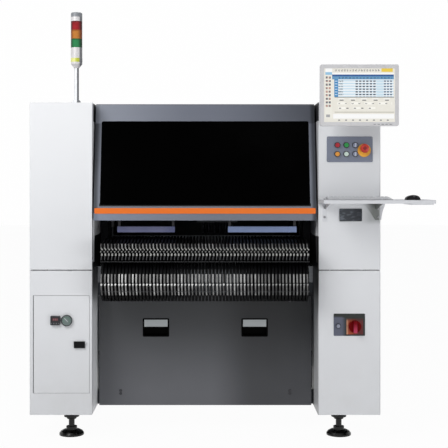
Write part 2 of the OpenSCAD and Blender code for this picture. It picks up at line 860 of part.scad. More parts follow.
// Head plate that runs on the beam, with two bored shelves for the spindles
module head_carriage() {
    front = gantry_y - xbeam_half_d;
    color("#e3e5e7") difference() {
        translate([head_x, 0, 0]) {
            difference() {
                block([-108, head_plate_y, 1000], [108, front - 0.4, xbeam_z[1] + 10]);
                for (z = [xbeam_z[0] + 15, xbeam_z[1] - 27])
                    block([-109, front - 12.4, z - 0.4], [109, front, z + 12.4]);
            }
            for (z = [1000, 1235]) block([-105, head_plate_y - 75, z], [105, head_plate_y, z + 18]);
            for (x = [-108, 105]) block([x, head_plate_y - 75, 1000], [x + 3, head_plate_y, 1253]);
            block([-108, head_plate_y - 78, 1060], [108, head_plate_y - 75, 1253]);
            // Board camera on the right of the head
            block([108, head_plate_y - 60, 1040], [146, head_plate_y, 1180]);
            translate([127, head_plate_y - 30, 1010]) cylinder(r = 16, h = 30);
        }
        for (i = [0 : 5]) translate([head_x + (i - 2.5) * spindle_pitch, spindle_y, 990])
            cylinder(r = spindle_r + run_fit, h = 280);
    }
}

// Spindle with its nozzle below and the collar that stops its travel above
module spindle(i) {
    color("#9a9ea3") translate([head_x + (i - 2.5) * spindle_pitch, spindle_y, 0])
        rotate_extrude()
            polygon([[0, tip_z], [2, tip_z], [3, tip_z + 14], [10, tip_z + 16], [10, tip_z + 24],
                     [7, tip_z + 28], [9, tip_z + 30], [9, tip_z + 56], [spindle_r, tip_z + 60],
                     [spindle_r, 1286], [9, 1286], [9, 1296], [0, 1296]]);
}

module spindle_1() { spindle(0); }
module spindle_2() { spindle(1); }
module spindle_3() { spindle(2); }
module spindle_4() { spindle(3); }
module spindle_5() { spindle(4); }
module spindle_6() { spindle(5); }

module placed() { translate(origin_shift) children(); }

placed() base_frame();
placed() machine_bed();
placed() gantry_stands();
placed() y_guide_rails();
placed() leveling_feet();
placed() left_lower_cover();
placed() left_upper_cover();
placed() right_lower_cover();
placed() right_upper_cover();
placed() roof_panel();
placed() rear_lower_panel();
placed() rear_bay_cover();
placed() feeder_bases();
placed() feeder_bank();
placed() conveyor_fixed_rail();
placed() vision_cameras();
placed() controller_unit();
placed() operator_panel();
placed() switch_plate();
placed() monitor_bracket();
placed() keyboard_tray();
placed() signal_tower();
placed() signal_lens_red();
placed() signal_lens_amber();
placed() signal_lens_green();
placed() front_cover();
placed() front_window();
placed() hood_lamps();
placed() rear_cover();
placed() rear_window();
placed() front_lower_panel();
placed() panel_handles();
placed() service_door();
placed() pressure_switch();
placed() pressure_gauge();
placed() door_latch();
placed() main_switch_handle();
placed() button_red();
placed() button_green();
placed() button_orange();
placed() button_white();
placed() selector_upper();
placed() selector_lower();
placed() emergency_stop();
placed() monitor_arm();
placed() monitor_housing();
placed() monitor_screen();
placed() keyboard();
placed() mouse();
placed() x_beam();
placed() head_carriage();
placed() spindle_1();
placed() spindle_2();
placed() spindle_3();
placed() spindle_4();
placed() spindle_5();
placed() spindle_6();
placed() conveyor_moving_rail();
placed() width_screw();
placed() feeder_loose();
placed() feeder_loose_reel();
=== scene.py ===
"""The looks of a floor-standing pick and place machine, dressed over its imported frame."""
import math

import bmesh
import bpy
import numpy as np
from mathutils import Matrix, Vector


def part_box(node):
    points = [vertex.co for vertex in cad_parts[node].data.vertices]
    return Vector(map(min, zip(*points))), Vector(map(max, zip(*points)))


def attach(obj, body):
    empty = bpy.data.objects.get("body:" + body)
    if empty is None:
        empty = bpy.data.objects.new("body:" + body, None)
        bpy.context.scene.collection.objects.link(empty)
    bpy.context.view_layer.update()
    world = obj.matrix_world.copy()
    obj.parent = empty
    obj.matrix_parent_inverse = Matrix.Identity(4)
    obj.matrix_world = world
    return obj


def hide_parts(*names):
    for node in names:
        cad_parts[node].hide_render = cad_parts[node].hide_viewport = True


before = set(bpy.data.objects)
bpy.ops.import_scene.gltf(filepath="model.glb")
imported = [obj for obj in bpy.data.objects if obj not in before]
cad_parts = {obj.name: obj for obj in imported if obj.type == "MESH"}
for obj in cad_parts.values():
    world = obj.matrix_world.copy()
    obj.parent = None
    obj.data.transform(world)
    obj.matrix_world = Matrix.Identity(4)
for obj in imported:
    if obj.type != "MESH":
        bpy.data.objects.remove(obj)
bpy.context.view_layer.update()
scene = bpy.context.scene

# ---- The viewing place ----
# The machine is drawn in millimetres from its own datum: the floor under the middle of the
# two towers, level with their front faces. The camera stands 4.6 m in front of them, at the
# height of the hood's lower half, and takes in a view 2.1 m wide there.

left_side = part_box("left_upper_cover")[0].x
right_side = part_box("right_upper_cover")[1].x
datum = np.array([(left_side + right_side) / 2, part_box("right_lower_cover")[0].y, 0.0])


def row(points):
    """Millimetres from the machine's datum, as metres in the row frame."""
    return np.asarray(points, float) / 1000 + datum


eye = (28, -4600, 1203)
view_width = 2104.7
camera_data = bpy.data.cameras.new("viewing_place")
camera_data.sensor_width = 36
camera_data.lens = camera_data.sensor_width * -eye[1] / view_width
camera_data.shift_x = 0.029
camera_data.shift_y = -0.0893
camera_data.clip_end = 60
camera = bpy.data.objects.new("viewing_place", camera_data)
camera.location = row(eye)
camera.rotation_euler = (math.pi / 2, 0, 0)
scene.collection.objects.link(camera)
scene.camera = camera
scene.view_settings.view_transform = "Standard"

# ---- Studio ----
# A flat sheet of paper under the machine, a broad soft lamp high on the left, weaker ones low
# on the right and overhead, and an even pale surround that is seen as white.


def math_node(operation):
    """A method that puts the wire and another value through a Math node."""
    return lambda self, other: self.math(operation, self, other)


class Wire:
    """An output of a node in a finish. Arithmetic on it adds Math nodes."""

    def __init__(self, finish, socket):
        self.finish = finish
        self.socket = socket

    def math(self, operation, *values):
        return self.finish.add("Math", {"operation": operation}, *values)

    __add__ = __radd__ = math_node("ADD")
    __sub__ = math_node("SUBTRACT")
    __mul__ = __rmul__ = math_node("MULTIPLY")
    __mod__ = math_node("FLOORED_MODULO")
    __gt__ = math_node("GREATER_THAN")
    __lt__ = math_node("LESS_THAN")

    def __rsub__(self, other):
        return self.math("SUBTRACT", other, self)

    def __abs__(self):
        return self.math("ABSOLUTE", self)

    def between(self, low, high):
        """1 where the value lies between low and high, else 0."""
        return (self > low) * (self < high)

    def fade(self, low, high):
        """Runs smoothly from 0 at low to 1 at high."""
        return self.finish.add("MapRange", {"interpolation_type": "SMOOTHSTEP"},
                               self, low, high, 0.0, 1.0)


class Nodes:
    """The nodes of a finish or of the surround."""

    def __init__(self, tree):
        self.tree = tree

    def join(self, value, socket):
        if isinstance(value, Wire):
            self.tree.links.new(value.socket, socket)
        elif socket.type == "RGBA" and len(value) == 3:
            socket.default_value = (*value, 1.0)
        else:
            socket.default_value = value

    def add(self, kind, settings, *values, out=0, **named):
        """A node of any kind: its settings first, then the values or links of its sockets."""
        node = self.tree.nodes.new("ShaderNode" + kind)
        for key, value in settings.items():
            setattr(node, key, value)
        for socket, value in zip(node.inputs, values):
            self.join(value, socket)
        for name, value in named.items():
            self.join(value, node.inputs[name])
        return Wire(self, node.outputs[out])

    def seen(self):
        """1 for what is seen straight, in a reflection or through glass, 0 for lighting."""
        path = self.tree.nodes.new("ShaderNodeLightPath")
        return sum(Wire(self, path.outputs[ray])
                   for ray in ("Is Camera Ray", "Is Glossy Ray", "Is Transmission Ray"))


class Finish(Nodes):
    """A material whose pattern is built from nodes."""

    def __init__(self, name, gloss=0.5, metallic=0.0, glow=0.0):
        self.material = bpy.data.materials.new(name)
        self.material.use_nodes = True
        super().__init__(self.material.node_tree)
        self.shader = self.tree.nodes["Principled BSDF"]
        for socket, value in (("Specular IOR Level", gloss), ("Metallic", metallic),
                              ("Emission Strength", glow)):
            self.shader.inputs[socket].default_value = value
        self.place = self.add("TexCoord", {}, out=3)
        parts = [self.add("SeparateXYZ", {}, self.place, out=i) for i in range(3)]
        self.x, self.y, self.z = [(part - start) * 1000 for part, start in zip(parts, datum)]

    def mix(self, first, second, share):
        """A blend of two colours: share 0 is the first, 1 the second."""
        node = self.tree.nodes.new("ShaderNodeMix")
        node.data_type = "RGBA"
        for socket, value in ((0, share), (6, first), (7, second)):
            self.join(value, node.inputs[socket])
        return Wire(self, node.outputs[2])

    def layered(self, base, *layers):
        """The base colour with further colours laid over it in turn, each by its share."""
        for colour, share in layers:
            base = self.mix(base, colour, share)
        return base

    def noise(self, scale, detail=2.0, stretch=(1, 1, 1)):
        """Cloudy values about 0.5, as wide as 1 / scale metres. A stretch below 1 draws them out
        along its axis."""
        where = self.place
        if stretch != (1, 1, 1):
            where = self.add("Mapping", {}, where, Scale=stretch)
        return self.add("TexNoise", {}, Vector=where, Scale=scale, Detail=detail)

    def colour(self, value):
        self.join(value, self.shader.inputs["Base Color"])

    def laid(self):
        """The colour laid so far, to be painted over."""
        return Wire(self, self.shader.inputs["Base Color"].links[0].from_socket)

    def rough(self, value):
        self.join(value, self.shader.inputs["Roughness"])

    def glow(self, value):
        self.join(value, self.shader.inputs["Emission Color"])

    def bumps(self, height, depth):
        """Raises the surface by height times depth metres."""
        self.join(self.add("Bump", {}, Distance=depth, Height=height),
                  self.shader.inputs["Normal"])


def grid_faces(rows, columns, close_rows=False, close_columns=False):
    """Quads over a rows by columns sheet of points, joined up round either way if asked."""
    r = np.arange(rows if close_rows else rows - 1)
    c = np.arange(columns if close_columns else columns - 1)
    r, c = (g.ravel() for g in np.meshgrid(r, c, indexing="ij"))
    r2, c2 = (r + 1) % rows, (c + 1) % columns
    return np.stack([r * columns + c, r * columns + c2, r2 * columns + c2, r2 * columns + c], 1)


def piece(name, shapes, finish, slot=None, body="machine", sharp=35, soften=0):
    """A mesh object from shapes in millimetres, each its points and its faces. Faces are turned
    outwards, edges sharper than the angle stay crisp, and soften rounds them by that much."""
    points, faces, start = [], [], 0
    for shape_points, shape_faces in shapes:
        shape_points = np.asarray(shape_points, float).reshape(-1, 3)
        points.append(shape_points)
        faces += [[int(corner) + start for corner in face] for face in shape_faces]
        start += len(shape_points)
    mesh = bpy.data.meshes.new(name)
    mesh.from_pydata(row(np.concatenate(points)).tolist(), [], faces)
    work = bmesh.new()
    work.from_mesh(mesh)
    bmesh.ops.remove_doubles(work, verts=work.verts, dist=1e-6)
    bmesh.ops.recalc_face_normals(work, faces=work.faces)
    work.to_mesh(mesh)
    work.free()
    mesh.shade_smooth()
    mesh.set_sharp_from_angle(angle=math.radians(sharp))
    mesh.materials.append(finish.material)
    thing = bpy.data.objects.new(name, mesh)
    scene.collection.objects.link(thing)
    if soften:
        bevel = thing.modifiers.new("softened", "BEVEL")
        bevel.width, bevel.segments, bevel.limit_method = soften / 1000, 2, "ANGLE"
    if slot:
        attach(thing, body)
    return thing


white_light = (0.995, 0.995, 0.995, 1.0)
paper_reach = 24000


def studio_paper():
    """A flat sheet of paper as the floor. It is seen white, and still takes a soft shadow."""
    paper = Finish("studio_paper", gloss=0.1)
    paper.rough(0.9)
    paper.colour((0.88, 0.88, 0.885))
    glow = paper.add("Emission", {}, white_light, 1.0)
    mixed = paper.add("MixShader", {}, paper.seen() * 0.975,
                      Wire(paper, paper.shader.outputs[0]), glow)
    paper.join(mixed, paper.tree.nodes["Material Output"].inputs["Surface"])
    edge = np.linspace(-paper_reach, paper_reach, 17)
    points = np.stack([*np.meshgrid(edge, edge, indexing="ij"), np.zeros((17, 17))], -1)
    piece("studio_paper", [(points, grid_faces(17, 17))], paper)


def soft_lamp(name, place, target, size, power):
    """An oblong lamp panel, its size in metres, that faces a point of the machine."""
    data = bpy.data.lights.new(name, "AREA")
    data.shape = "RECTANGLE"
    data.size, data.size_y = size
    data.energy = power
    lamp = bpy.data.objects.new(name, data)
    lamp.location = row(place)
    direction = np.array(target, float) - np.array(place, float)
    flat = math.hypot(direction[0], direction[1])
    lamp.rotation_euler = (math.atan2(flat, -direction[2]), 0,
                           math.atan2(-direction[0], direction[1]))
    scene.collection.objects.link(lamp)


studio_paper()
soft_lamp("key_lamp", (-2150, -2500, 3300), (-100, 0, 1000), (2.2, 2.0), 93)
soft_lamp("fill_lamp", (3000, -3000, 700), (200, 0, 500), (2.2, 1.2), 33)
soft_lamp("top_lamp", (0, 400, 4200), (0, 700, 0), (3.4, 3.0), 34)
world = bpy.data.worlds.new("surround")
world.use_nodes = True
sky = Nodes(world.node_tree)
soft, white = [sky.add("Background", {}, *light)
               for light in (((0.92, 0.95, 1.0, 1.0), 0.27), (white_light, 1.0))]
either = sky.add("MixShader", {}, sky.seen(), soft, white)
sky.join(either, sky.tree.nodes["World Output"].inputs["Surface"])
scene.world = world

# ---- Tower covers ----
# Folded sheet steel with an off-white powder coat: fine orange peel, dulled where it is rubbed,
# grey edges and a trace of dust. The left tower is painted light, lighter towards the top and
# darker near the floor. The sides that face the bay carry painted shade: black round the
# feeders and down the right side's rear edge, and a lit tone above and below, lighter on the
# left than on the right. The right tower carries a painted shadow under the tray.


def shade(red, green, blue):
    """A paint shade given as 0 to 255 on a screen, as linear light."""
    value = np.array([red, green, blue]) / 255
    return tuple(float(v) for v in np.where(value > 0.04045, ((value + 0.055) / 1.055) ** 2.4,
                                            value / 12.92))


def toned(colour, factor):
    """The same colour, lighter or darker."""
    return tuple(min(1.0, c * factor) for c in colour)


def dress(finish, *nodes):
    """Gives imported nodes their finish."""
    for node in nodes:
        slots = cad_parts[node].material_slots
        if not slots:
            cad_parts[node].data.materials.append(finish.material)
        for held in slots:
            held.material = finish.material


def along_edges(finish, low, high, width):
    """1 on the twelve edges of a box, 0 from width millimetres in. A point at an edge lies near
    the box's bounds along two axes, so the masks of the axes go in by pairs."""
    near = []
    for wire, least, most in zip((finish.x, finish.y, finish.z), low, high):
        middle, half = (least + most) / 2, (most - least) / 2
        near.append(abs(wire - middle).fade(half - width, half))
    pairs = near[0] * near[1] + near[1] * near[2] + near[0] * near[2]
    return pairs.math("MINIMUM", pairs, 1.0)


def box_mm(node):
    """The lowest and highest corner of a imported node, in millimetres from the datum."""
    return [(np.array(corner) - datum) * 1000 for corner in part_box(node)]


def middle(node):
    """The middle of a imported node's box, in millimetres from the datum."""
    return np.mean(box_mm(node), axis=0).tolist()


def powder_coat(name, colour, worn, roughness=0.45, dust=0.5):
    """Powder coat: peel in the bump, slow tone changes, rubbed patches, greyed edges of the box
    worn, and dust near the floor."""
    coat = Finish(name, gloss=0.35)
    dusty = tuple(c * d for c, d in zip(colour, (0.87, 0.86, 0.84)))
    settled = (1 - coat.z.fade(60, 560)) * coat.noise(9.0, 5.0).fade(0.35, 0.8)
    scuffs = along_edges(coat, *worn, 5) * coat.noise(22.0, 4.0).fade(0.40, 0.62)
    coat.colour(coat.layered(
        colour, (toned(colour, 0.965), coat.noise(1.7, 3.0).fade(0.35, 0.7)),
        (dusty, settled * dust), (toned(colour, 0.72), scuffs * 0.55)))
    rubbed = coat.noise(6.0, 4.0, (1, 1, 0.35)).fade(0.52, 0.75)
    coat.rough(coat.noise(40.0) * 0.08 + (roughness - 0.04) - rubbed * 0.09)
    coat.bumps(coat.noise(480.0) + coat.noise(3.0, 1.0) * 4.0, 0.00010)
    return coat


cover_white = shade(231, 232, 234)
bay_left, bay_right, bay_shade_top = -531.7, 534.6, 957
# Each number sets how bright the painted light on that cover's bay side is.
for cover, inner_light in (("left_lower_cover", 1.22), ("left_upper_cover", 0.9),
                            ("right_lower_cover", 0.60), ("right_upper_cover", 0.62),
                            ("service_door", 1.0)):
    coat = powder_coat(cover + "_coat", cover_white, box_mm(cover))
    # Painted light on the left tower: lighter towards the top and darker near the floor.
    lit_side = 0.0 if cover.startswith("right") else 1.0
    # A painted shadow of the keyboard tray on the right tower's front.
    tray_shadow = coat.x.fade(722, 782) * coat.z.fade(1008, 1036) * (coat.z < 1106)
    outside = coat.layered(
        coat.laid(),
        ((1.0, 1.0, 1.0), coat.z.fade(780, 1600) * (0.36 * lit_side)),
        (shade(150, 150, 151), (1 - coat.z.fade(100, 600)) * (0.16 * lit_side)),
        (shade(124, 128, 124), tray_shadow * (coat.y < 2) * 0.5))
    # Painted light and shade on the sides that face the bay: black round the feeders, a lit tone
    # below and above them, and a dark strip down the right side's rear edge.
    bay_light_and_shade = coat.layered(
        coat.mix(shade(6, 6, 8), shade(16, 16, 19), coat.noise(14.0, 3.0)),
        (toned(cover_white, inner_light),
         (1 - coat.z.fade(560, 770)) + coat.z.between(bay_shade_top, 1500)),
        (shade(26, 26, 28), (coat.x > 0) * coat.y.fade(186, 200) * (coat.z < bay_shade_top)))
    left_front = (coat.x < 0) * (coat.y < 46)
    bay_side = coat.x.between(bay_left, bay_right) * (1 - left_front)
    coat.colour(coat.mix(outside, bay_light_and_shade, bay_side))
    dress(coat, cover)

# ---- Frame, bed and feet ----
# A welded frame of square steel tube, painted grey, stands on four levelling feet. On it lie
# the milled aluminium bed and the two stands that carry the ground steel guide rails.


def metal(name, colour, roughness=0.35, grain=(1, 1, 1), worn=None, anodised=False):
    """Bare or anodised metal: tool marks drawn out along the grain in tone, roughness and bump,
    faint blotches from handling, and brighter edges on the box worn."""
    bare = Finish(name, metallic=0.85 if anodised else 1.0)
    marks = bare.noise(160.0, 3.0, grain)
    blotch = bare.noise(8.0, 3.0).fade(0.4, 0.75)
    layers = [(toned(colour, 1.05), marks.fade(0.3, 0.7)), (toned(colour, 0.84), blotch * 0.35)]
    if worn:
        layers.append((toned(colour, 1.35), along_edges(bare, *worn, 3) * 0.5))
    bare.colour(bare.layered(toned(colour, 0.90), *layers))
    bare.rough(marks * 0.16 + (roughness - 0.08) + blotch * 0.08)
    bare.bumps(marks, 0.00006)
    return bare


dress(powder_coat("frame_paint", shade(74, 79, 85), box_mm("base_frame"), 0.5, 0.8), "base_frame")
dress(metal("milled_bed", shade(150, 153, 158), 0.42, (0.08, 1, 1), box_mm("machine_bed")),
      "machine_bed")
# The stands are near-black as painted shade deep in the bay.
dress(metal("stand_black", shade(26, 27, 30), 0.5, (1, 1, 0.3), box_mm("gantry_stands"), True),
      "gantry_stands")
dress(metal("ground_rail", shade(205, 208, 212), 0.22, (1, 0.05, 1)), "y_guide_rails")
dress(metal("feeder_base_plate", shade(92, 94, 98), 0.40, (0.05, 1, 1),
            box_mm("feeder_bases"), True), "feeder_bases")

rubber = Finish("foot_black", gloss=0.35)
dusty = rubber.noise(30.0, 4.0).fade(0.45, 0.8)
rubber.colour(rubber.mix(shade(3, 3, 3), shade(40, 39, 38), dusty * 0.22))
rubber.rough(dusty * 0.25 + 0.22)
rubber.bumps(rubber.noise(140.0, 3.0), 0.00015)
dress(rubber, "leveling_feet")

dress(powder_coat("controller_paint", shade(178, 182, 186), box_mm("controller_unit")),
      "controller_unit")

# ---- Lower panels and their grips ----
# The front and rear of the base are closed by pans of folded sheet steel in a dark metallic
# grey. Painted light makes them lighter towards the floor, where they catch its light, and
# painted shade darker right of the middle.
# Quarter-turn fasteners hold them, and two recessed grips lift the front one off.


def metallic_paint(name, upper, lower, heights, worn, roughness=0.42):
    """Metallic paint whose shade runs from lower to upper between two heights. The flakes are a
    fine noise in colour and roughness, and the clear coat over them is lightly peeled."""
    paint = Finish(name, gloss=0.22)
    flake = paint.noise(900.0, 1.0)
    middle = tuple((one + other) / 2 for one, other in zip(upper, lower))
    scuffs = along_edges(paint, *worn, 4) * paint.noise(25.0, 4.0).fade(0.38, 0.6)
    paint.colour(paint.layered(
        lower, (upper, paint.z.fade(*heights)),
        (toned(middle, 1.5), flake.fade(0.55, 0.80) * 0.175),
        (toned(middle, 0.6), flake.fade(0.45, 0.20) * 0.175),
        (toned(middle, 0.82), paint.noise(2.5, 3.0).fade(0.45, 0.8) * 0.25),
        (toned(upper, 1.9), scuffs * 0.45)))
    paint.rough(flake * 0.14 + (roughness - 0.07) + paint.noise(7.0, 4.0).fade(0.5, 0.8) * 0.08)
    paint.bumps(paint.noise(420.0) + paint.noise(2.0, 1.0) * 4.0, 0.00008)
    return paint


for panel in ("front_lower_panel", "rear_lower_panel", "rear_bay_cover"):
    # Painted light and shade: lighter towards the floor, and darker right of the middle.
    paint = metallic_paint(panel + "_paint", shade(74, 75, 77), shade(107, 108, 112),
                           (140, 640), box_mm(panel))
    right_shade = paint.x.fade(20, 240) * 0.50 - paint.x.fade(300, 520) * 0.24
    paint.colour(paint.mix(paint.laid(), (0.0, 0.0, 0.0), right_shade))
    dress(paint, panel)

grip = Finish("grip_silver_and_black", gloss=0.02)
on_flap = grip.z.between(503, 537.2) * (abs(abs(grip.x) - 242) < 57)
silk = grip.noise(200.0, 3.0, (0.05, 1, 1))
silver = grip.mix(shade(192, 197, 198), shade(210, 215, 215), silk)
rim_black = grip.mix(shade(0, 0, 0), shade(3, 3, 3), grip.noise(60.0, 3.0))
grip.colour(grip.mix(rim_black, silver, on_flap))
grip.rough(silk * 0.12 + 0.36)
grip.bumps(silk, 0.00005)
dress(grip, "panel_handles")


def turned_shape(profile, centre, axis="y", steps=24):
    """A profile of radius and distance along the axis, carried round the axis at centre. Along
    y the distance runs towards the operator."""
    profile = np.asarray(profile, float)
    turn = np.linspace(0, 2 * math.pi, steps, endpoint=False)[:, None]
    across, up = profile[:, 0] * np.cos(turn), profile[:, 0] * np.sin(turn)
    along = np.broadcast_to(profile[:, 1], across.shape)
    order = {"x": (along, across, up), "y": (across, -along, up), "z": (across, up, along)}
    points = np.stack(order[axis], -1) + np.asarray(centre, float)
    return points, grid_faces(steps, len(profile), close_rows=True)


fastener_head = [(0, 2.6), (3, 2.6), (6.5, 2.2), (7.5, 0.8), (7.5, 0)]
piece("panel_fasteners", [turned_shape(fastener_head, (x, 205, z), steps=20)
                          for x in (-415, 415) for z in (175.5, 190, 630)],
      metal("fastener_grey", shade(70, 70, 73), 0.35, (1, 1, 0.2)), "panel_grey", "lower_panel")

# ---- Hoods, roof and lamps ----
# Two folded steel hoods in metallic blue-grey hang on the roof strip. Each holds a smoked
# acrylic window set in from behind, and the front one carries an orange trim strip along its
# lower edge and two lamp bars under it.

for cover in ("front_cover", "rear_cover", "roof_panel"):
    paint = metallic_paint(cover + "_paint", shade(107, 111, 122), shade(122, 126, 136),
                           (1060, 1560), box_mm(cover), 0.38)
    # Painted shade along the side and top edges, painted light on the lower left, and on the brow
    # painted light at the left and painted shade at the right.
    edge_shade = abs(paint.x).fade(496, 514) + paint.z.fade(1574, 1586) * 0.6
    fold_light = (1 - paint.x.fade(-620, 120)) * (paint.z < 1066)
    gasket = (abs(paint.x) < 497) * paint.z.between(1098, 1112)
    brow = paint.z.between(1492, 1584)
    paint.colour(paint.layered(
        paint.laid(),
        (shade(54, 57, 62), edge_shade * 0.9),
        (shade(146, 156, 176), fold_light * 0.6),
        (shade(160, 165, 176), (1 - paint.x.fade(-540, -20)) * brow * 0.42),
        ((0.0, 0.0, 0.0), paint.x.fade(0, 500) * brow * 0.40),
        (shade(10, 10, 11), gasket)))
    dress(paint, cover)

smoked = Finish("smoked_acrylic", gloss=0.01)
haze = smoked.noise(2.2, 4.0).fade(0.45, 0.85)
smoked.colour(smoked.mix(shade(0, 0, 0), shade(5, 5, 5), haze))
smoked.rough(haze * 0.10 + 0.12 + smoked.noise(90.0).fade(0.6, 0.8) * 0.05)
smoked.bumps(smoked.noise(1.4, 1.0), 0.0006)
dress(smoked, "front_window", "rear_window")

bar = Finish("lamp_bar", metallic=0.3, glow=0.16)
lit = bar.noise(5.0, 2.0, (1, 0.2, 0.2))
lit_tone = bar.layered(shade(80, 86, 122), (shade(104, 107, 138), lit.fade(0.35, 0.65)),
                       (shade(124, 140, 178), bar.x > 0))
hanger = bar.z > 1001
bar.colour(bar.mix(lit_tone, shade(40, 40, 44), hanger))
bar.glow(bar.mix(lit_tone, (0.0, 0.0, 0.0), hanger))
bar.rough(lit * 0.2 + 0.3)
bar.bumps(bar.noise(120.0, 2.0, (0.05, 1, 1)), 0.0001)
dress(bar, "hood_lamps")


def carried(outline, start, end, axis):
    """An outline carried straight along an axis from start to end, closed by a face at either
    end. Its own two numbers are the places along the other two axes, in their order."""
    outline = np.asarray(outline, float)
    count = len(outline)
    points = [np.insert(outline, axis, place, axis=1) for place in (start, end)]
    faces = grid_faces(2, count, close_columns=True).tolist()
    return np.array(points), faces + [list(range(count)), list(range(count, 2 * count))]


def prism(outline, x_low, x_high):
    """An outline of depth and height carried across from x_low to x_high."""
    return carried(outline, x_low, x_high, 0)


def plate(outline, y_front, y_back):
    """An outline of place across and height carried from y_front back to y_back."""
    return carried(outline, y_front, y_back, 1)


def rounded_box(x_low, x_high, z_low, z_high, radius, steps=6):
    """The outline of a rectangle with round corners: a quarter circle about each inset corner."""
    quarter = np.linspace(0, math.pi / 2, steps + 1)
    corners = [(x_high - radius, z_high - radius, 0), (x_low + radius, z_high - radius, 1),
               (x_low + radius, z_low + radius, 2), (x_high - radius, z_low + radius, 3)]
    return np.concatenate([np.stack([x + radius * np.cos(quarter + q * math.pi / 2),
                                     z + radius * np.sin(quarter + q * math.pi / 2)], -1)
                           for x, z, q in corners])


trim = Finish("trim_orange", gloss=0.2)
cloudy = trim.noise(14.0, 3.0, (0.3, 1, 1))
trim.colour(trim.mix(shade(238, 114, 40), shade(247, 130, 54), cloudy))
trim.rough(cloudy * 0.15 + 0.30)
trim.bumps(trim.noise(260.0), 0.00005)
piece("hood_trim_strip", [plate(rounded_box(-519, 519, 1063.6, 1090, 5), -9.2, -8.0)],
      trim, "hood_grey", "front_hood", soften=0.4)

# ---- Feeders and their reels ----
# Sixty tape feeders stand side by side, sixteen millimetres apart. Each is a slim black
# moulding with a hooked front that carries bright pressed strips and keys, over a dark reel of
# component tape. A bright spring strip in two parts, with a catch between, holds the tape down.

feeder_count, feeder_pitch, loose_number = 60, 16.0, 52
lane = (np.arange(feeder_count) + 0.5 - feeder_count / 2) * feeder_pitch
loose_x = lane[loose_number]
bank_x = np.delete(lane, loose_number)
reel_centre = (-24.0, 757.0)
holder_centre = (-24.0, 753.0)


def arc(centre, radius, start, end, steps):
    """Points of depth and height on a circle, from one angle to another in degrees. 180 degrees
    looks towards the operator and 90 up."""
    turn = np.radians(np.linspace(start, end, steps))
    return np.stack([centre[0] + radius * np.cos(turn), centre[1] + radius * np.sin(turn)], -1)


def ribbon(path, thickness, x_low, x_high):
    """A flat strip bent along a path of depth and height. Its second side is the path moved by
    the thickness along its normal, and both run from x_low to x_high."""
    path = np.asarray(path, float)
    ahead = np.gradient(path, axis=0)
    ahead /= np.linalg.norm(ahead, axis=1)[:, None]
    inner = path + np.stack([ahead[:, 1], -ahead[:, 0]], -1) * thickness
    return prism(np.concatenate([path, inner[::-1]]), x_low, x_high)


def feeder_moulding(x):
    """One feeder's black body with its hooked front, top guide, reel holder and pick-up nose."""
    body = [(-119, 854), (-114, 850.5), (430, 850.5), (430, 890), (340, 894), (318, 940),
            (-6, 941), (-46, 931), (-92, 930), (-113, 926), (-119, 915)]
    rim = arc(holder_centre, 97.5, 46, 330, 28)
    holder = np.concatenate([rim, arc(holder_centre, 89.5, 330, 46, 22)])
    guide = ribbon([(-84, 932), (-40, 934.5), (0, 943.5), (300, 943.5)], 1.6, x - 2.6, x + 2.6)
    arm = [(-30, 832), (40, 832), (46, 850), (-34, 850)]
    return [prism(body, x - 4.6, x + 4.6), prism(holder, x - 5.3, x + 5.3),
            prism(arm, x - 5.3, x + 5.3), guide]


def slanted(shape, level, slant):
    """A shape pushed sideways in proportion to its height below the level."""
    points = np.array(shape[0])
    points[..., 0] += (level - points[..., 2]) * slant
    return points, shape[1]


def feeder_metal(x, wave):
    """The bright parts of one feeder: a strip round its top front edge, three keys and a dull
    strip below them, a seam, and the two-part spring strip round the reel with its catch. wave
    sets each strip a little off its lane."""
    front = [(-119.5, 906), (-119.5, 915), (-113.5, 926.5), (-104, 929.5)]
    upper = arc(holder_centre, 97.8, 158, 181, 8)
    lower = arc(holder_centre, 97.8, 188, 218, 8)
    edge = x - 2 + wave
    keys = [turned_shape([(0, 3.6), (size * 0.6, 3.2), (size, 1.6), (size, 0)],
                         (x + shift, -119, z), steps=10)
            for shift, z, size in ((2.2, 902.6, 3.9), (-4.6, 892.4, 3.3), (0.4, 881.5, 4.2),
                                   (0.4, 877.0, 4.2))]
    catch = turned_shape([(0, 3.8), (3.2, 3.2), (4.8, 1.6), (5.0, 0)],
                         (edge + 1.2, -119.5, 743), steps=12)
    rear = [(-121, 0), (-119, 0), (-119, 1), (-121, 1)]
    dull = [(y, 855 + 17 * up) for y, up in rear]
    seam = [(y, 846 + 1.6 * up) for y, up in rear]
    bar = [(y - 1.5, 709.4 + 1.6 * up) for y, up in rear]
    return [slanted(ribbon(front, 1.4, x - 7.4, x - 2.4), 930, 0.09),
            ribbon(upper, 1.6, edge - 3.3, edge + 3.3),
            slanted(ribbon(lower, 1.6, edge - 2.6, edge + 3.4), 735, 0.04),
            slanted(prism(dull, x - 5.2, x - 2.2), 855, -0.12),
            prism(seam, x - 7.6, x + 7.6), prism(bar, x - 7.6, x + 7.6), catch] + keys


def reel_shapes(x, steps=28):
    """One tape reel: two thin flanges with a rolled rim, and the wound tape between them, all
    turned about the reel's own axis."""
    wall = [(5.6, 0), (86.4, 0), (87, 0.5), (86.4, 1.0), (5.6, 1.0)]
    centre = (0, *reel_centre)
    shapes = []
    for start, profile in ((-3.6, wall), (2.6, wall),
                           (-2.6, [(6, 0), (72.5, 0), (72.5, 5.2), (6, 5.2)])):
        points, faces = turned_shape(profile + [profile[0]], centre, "x", steps)
        points[:, :, 0] += x + start
        shapes.append((points, faces))
    return shapes


black = Finish("feeder_moulding", gloss=0.05)
grime = black.noise(35.0, 4.0).fade(0.45, 0.8)
black.colour(black.mix(shade(4, 4, 5), shade(22, 22, 24), grime * 0.4))
black.rough(grime * 0.2 + 0.42)
black.bumps(black.noise(380.0), 0.00010)

